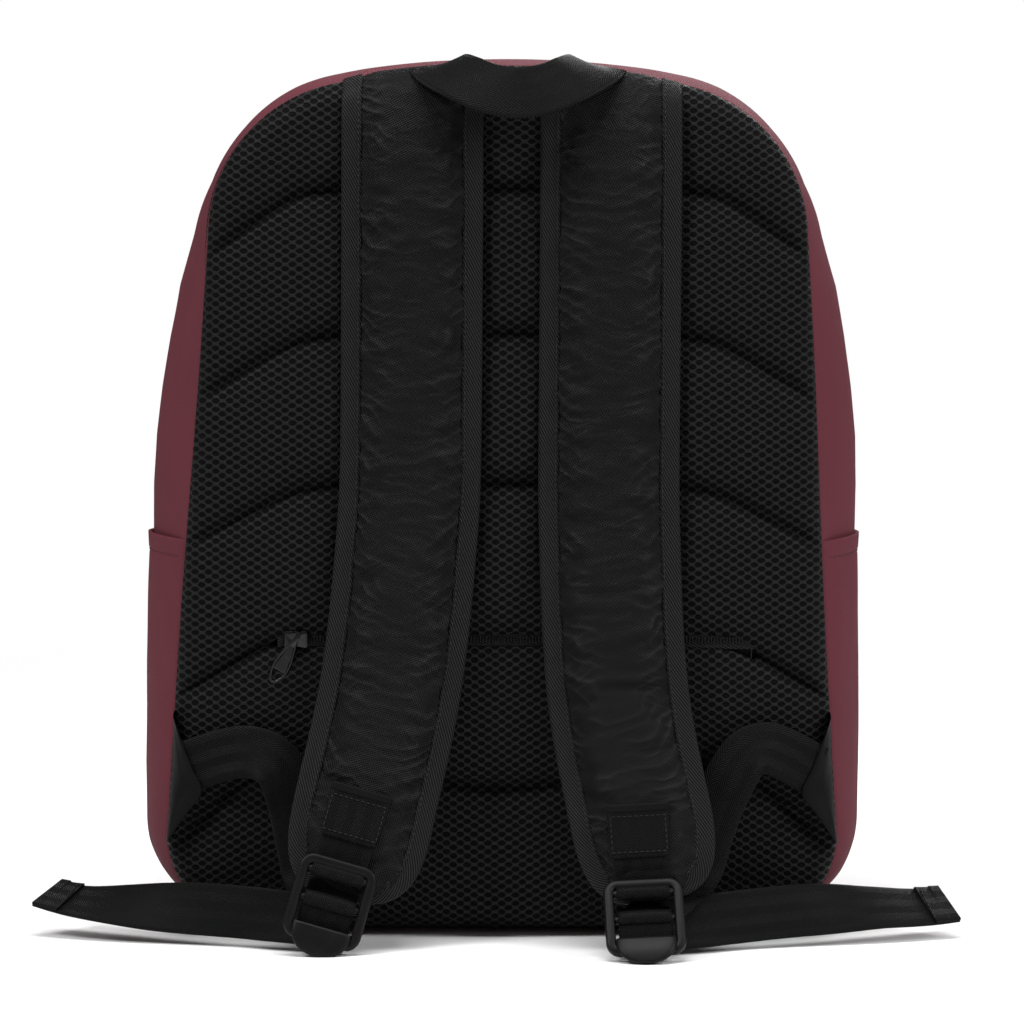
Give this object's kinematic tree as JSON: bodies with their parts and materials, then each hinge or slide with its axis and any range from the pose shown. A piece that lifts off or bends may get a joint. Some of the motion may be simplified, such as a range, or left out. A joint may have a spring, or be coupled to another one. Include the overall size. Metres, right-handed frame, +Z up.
{
  "type": "travel backpack",
  "caption": "Rounded backpack with a quilted mesh back, padded shoulder straps, ladder-lock buckles, webbing tails, grab handle and side pockets.",
  "frame": {"origin": "middle of the base, on the surface that the bag stands on", "axes": "+Z up; the harness side faces -Y; +X to the right when the harness faces the viewer"},
  "size_m": [0.4424, 0.228, 0.4258],
  "materials": {
    "burgundy_cloth": "plain woven polyester, matt",
    "spacer_mesh": "black spacer mesh with small oval holes",
    "black_cloth": "black woven polyester, slight sheen",
    "webbing": "black herringbone webbing",
    "binding_tape": "black twill tape",
    "lining_cloth": "thin lining cloth",
    "foam": "closed-cell foam",
    "black_plastic": "moulded, satin",
    "zip_coil": "nylon coil",
    "zip_metal": "black enamel"
  },
  "bodies": {
    "bag": {"side_gusset_left": "burgundy_cloth", "side_gusset_right": "burgundy_cloth", "bottom_panel": "burgundy_cloth", "top_gusset_rear": "burgundy_cloth", "top_gusset_front": "burgundy_cloth", "main_zip_tape": "binding_tape", "main_zip_coil": "zip_coil", "seam_binding_back": "binding_tape", "seam_binding_front": "binding_tape", "front_panel_upper": "burgundy_cloth", "front_panel_lower": "burgundy_cloth", "front_zip_tape": "binding_tape", "front_zip_coil": "zip_coil", "front_pocket_lining": "lining_cloth", "back_mesh": "spacer_mesh", "back_foam": "foam", "back_lining": "lining_cloth", "back_pocket_lining": "lining_cloth", "back_zip_tape": "binding_tape", "back_zip_coil": "zip_coil", "laptop_sleeve": "lining_cloth", "sleeve_binding": "binding_tape", "side_pocket_left": "burgundy_cloth", "side_pocket_right": "burgundy_cloth", "side_pocket_hem_left": "burgundy_cloth", "side_pocket_hem_right": "burgundy_cloth", "wing_left": "black_cloth", "wing_right": "black_cloth", "lower_webbing_left": "webbing", "lower_webbing_right": "webbing"},
    "strap_left": {"strap_lining_left": "spacer_mesh", "strap_foam_left": "foam", "strap_cover_left": "black_cloth", "strap_binding_left": "binding_tape", "anchor_tab_left": "webbing"},
    "buckle_left": {"buckle_left": "black_plastic", "adjuster_loop_left": "webbing"},
    "tail_left": {"webbing_tail_left": "webbing"},
    "main_slider_left": {"main_slider_left": "zip_metal"},
    "main_pull_left": {"main_pull_left": "zip_metal"},
    "strap_right": {"strap_lining_right": "spacer_mesh", "strap_foam_right": "foam", "strap_cover_right": "black_cloth", "strap_binding_right": "binding_tape", "anchor_tab_right": "webbing"},
    "buckle_right": {"buckle_right": "black_plastic", "adjuster_loop_right": "webbing"},
    "tail_right": {"webbing_tail_right": "webbing"},
    "main_slider_right": {"main_slider_right": "zip_metal"},
    "main_pull_right": {"main_pull_right": "zip_metal"},
    "handle": {"grab_handle": "webbing"},
    "front_slider": {"front_slider": "zip_metal"},
    "front_pull": {"front_pull": "zip_metal"},
    "back_slider": {"back_slider": "zip_metal"},
    "back_pull": {"back_pull": "zip_metal"}
  },
  "joints": [
    {"name": "strap_left_swing", "type": "hinge", "parent": "bag", "child": "strap_left", "pos_m": [-0.0433, -0.0726, 0.409], "axis": [-1, 0, 0], "range_deg": [0, 20], "deforming": ["lower_webbing_left"]},
    {"name": "buckle_left_tilt", "type": "hinge", "parent": "strap_left", "child": "buckle_left", "pos_m": [-0.077, -0.1145, 0.037], "axis": [-0.9613, 0, 0.2756], "range_deg": [-12, 30]},
    {"name": "tail_left_swing", "type": "hinge", "parent": "buckle_left", "child": "tail_left", "pos_m": [-0.101, -0.105, 0.018], "axis": [0, 0, -1], "range_deg": [-20, 15]},
    {"name": "main_slider_left_run", "type": "hinge", "parent": "bag", "child": "main_slider_left", "pos_m": [0, 0.04, 0.019], "axis": [0, -1, 0], "range_deg": [0, 8]},
    {"name": "main_pull_left_flip", "type": "hinge", "parent": "main_slider_left", "child": "main_pull_left", "pos_m": [-0.00707, 0.04, 0.42405], "axis": [0, 1, 0], "range_deg": [0, 120]},
    {"name": "strap_right_swing", "type": "hinge", "parent": "bag", "child": "strap_right", "pos_m": [0.0513, -0.0726, 0.409], "axis": [-1, 0, 0], "range_deg": [0, 20], "deforming": ["lower_webbing_right"]},
    {"name": "buckle_right_tilt", "type": "hinge", "parent": "strap_right", "child": "buckle_right", "pos_m": [0.0665, -0.116, 0.029], "axis": [-0.9986, 0, -0.0523], "range_deg": [-12, 10]},
    {"name": "tail_right_swing", "type": "hinge", "parent": "buckle_right", "child": "tail_right", "pos_m": [0.088, -0.11, 0.018], "axis": [0, 0, 1], "range_deg": [-20, 5]},
    {"name": "main_slider_right_run", "type": "hinge", "parent": "bag", "child": "main_slider_right", "pos_m": [0, 0.04, 0.019], "axis": [0, 1, 0], "range_deg": [0, 8]},
    {"name": "main_pull_right_flip", "type": "hinge", "parent": "main_slider_right", "child": "main_pull_right", "pos_m": [0.00707, 0.04, 0.42405], "axis": [0, -1, 0], "range_deg": [0, 120]},
    {"name": "handle_swing", "type": "hinge", "parent": "bag", "child": "handle", "pos_m": [0.0045, -0.0614, 0.4192], "axis": [-1, 0, 0], "range_deg": [0, 85]},
    {"name": "front_slider_run", "type": "slide", "parent": "bag", "child": "front_slider", "axis": [1, 0, 0], "range_m": [0, 0.176]},
    {"name": "front_pull_flip", "type": "hinge", "parent": "front_slider", "child": "front_pull", "pos_m": [-0.088, 0.0867, 0.235], "axis": [1, 0, 0], "range_deg": [0, 90]},
    {"name": "back_slider_run", "type": "slide", "parent": "bag", "child": "back_slider", "axis": [1, 0, 0], "range_m": [0, 0.211]},
    {"name": "back_pull_flip", "type": "hinge", "parent": "back_slider", "child": "back_pull", "pos_m": [-0.099, -0.0724, 0.144], "axis": [-0.8746, 0, 0.4848], "range_deg": [0, 90]}
  ]
}
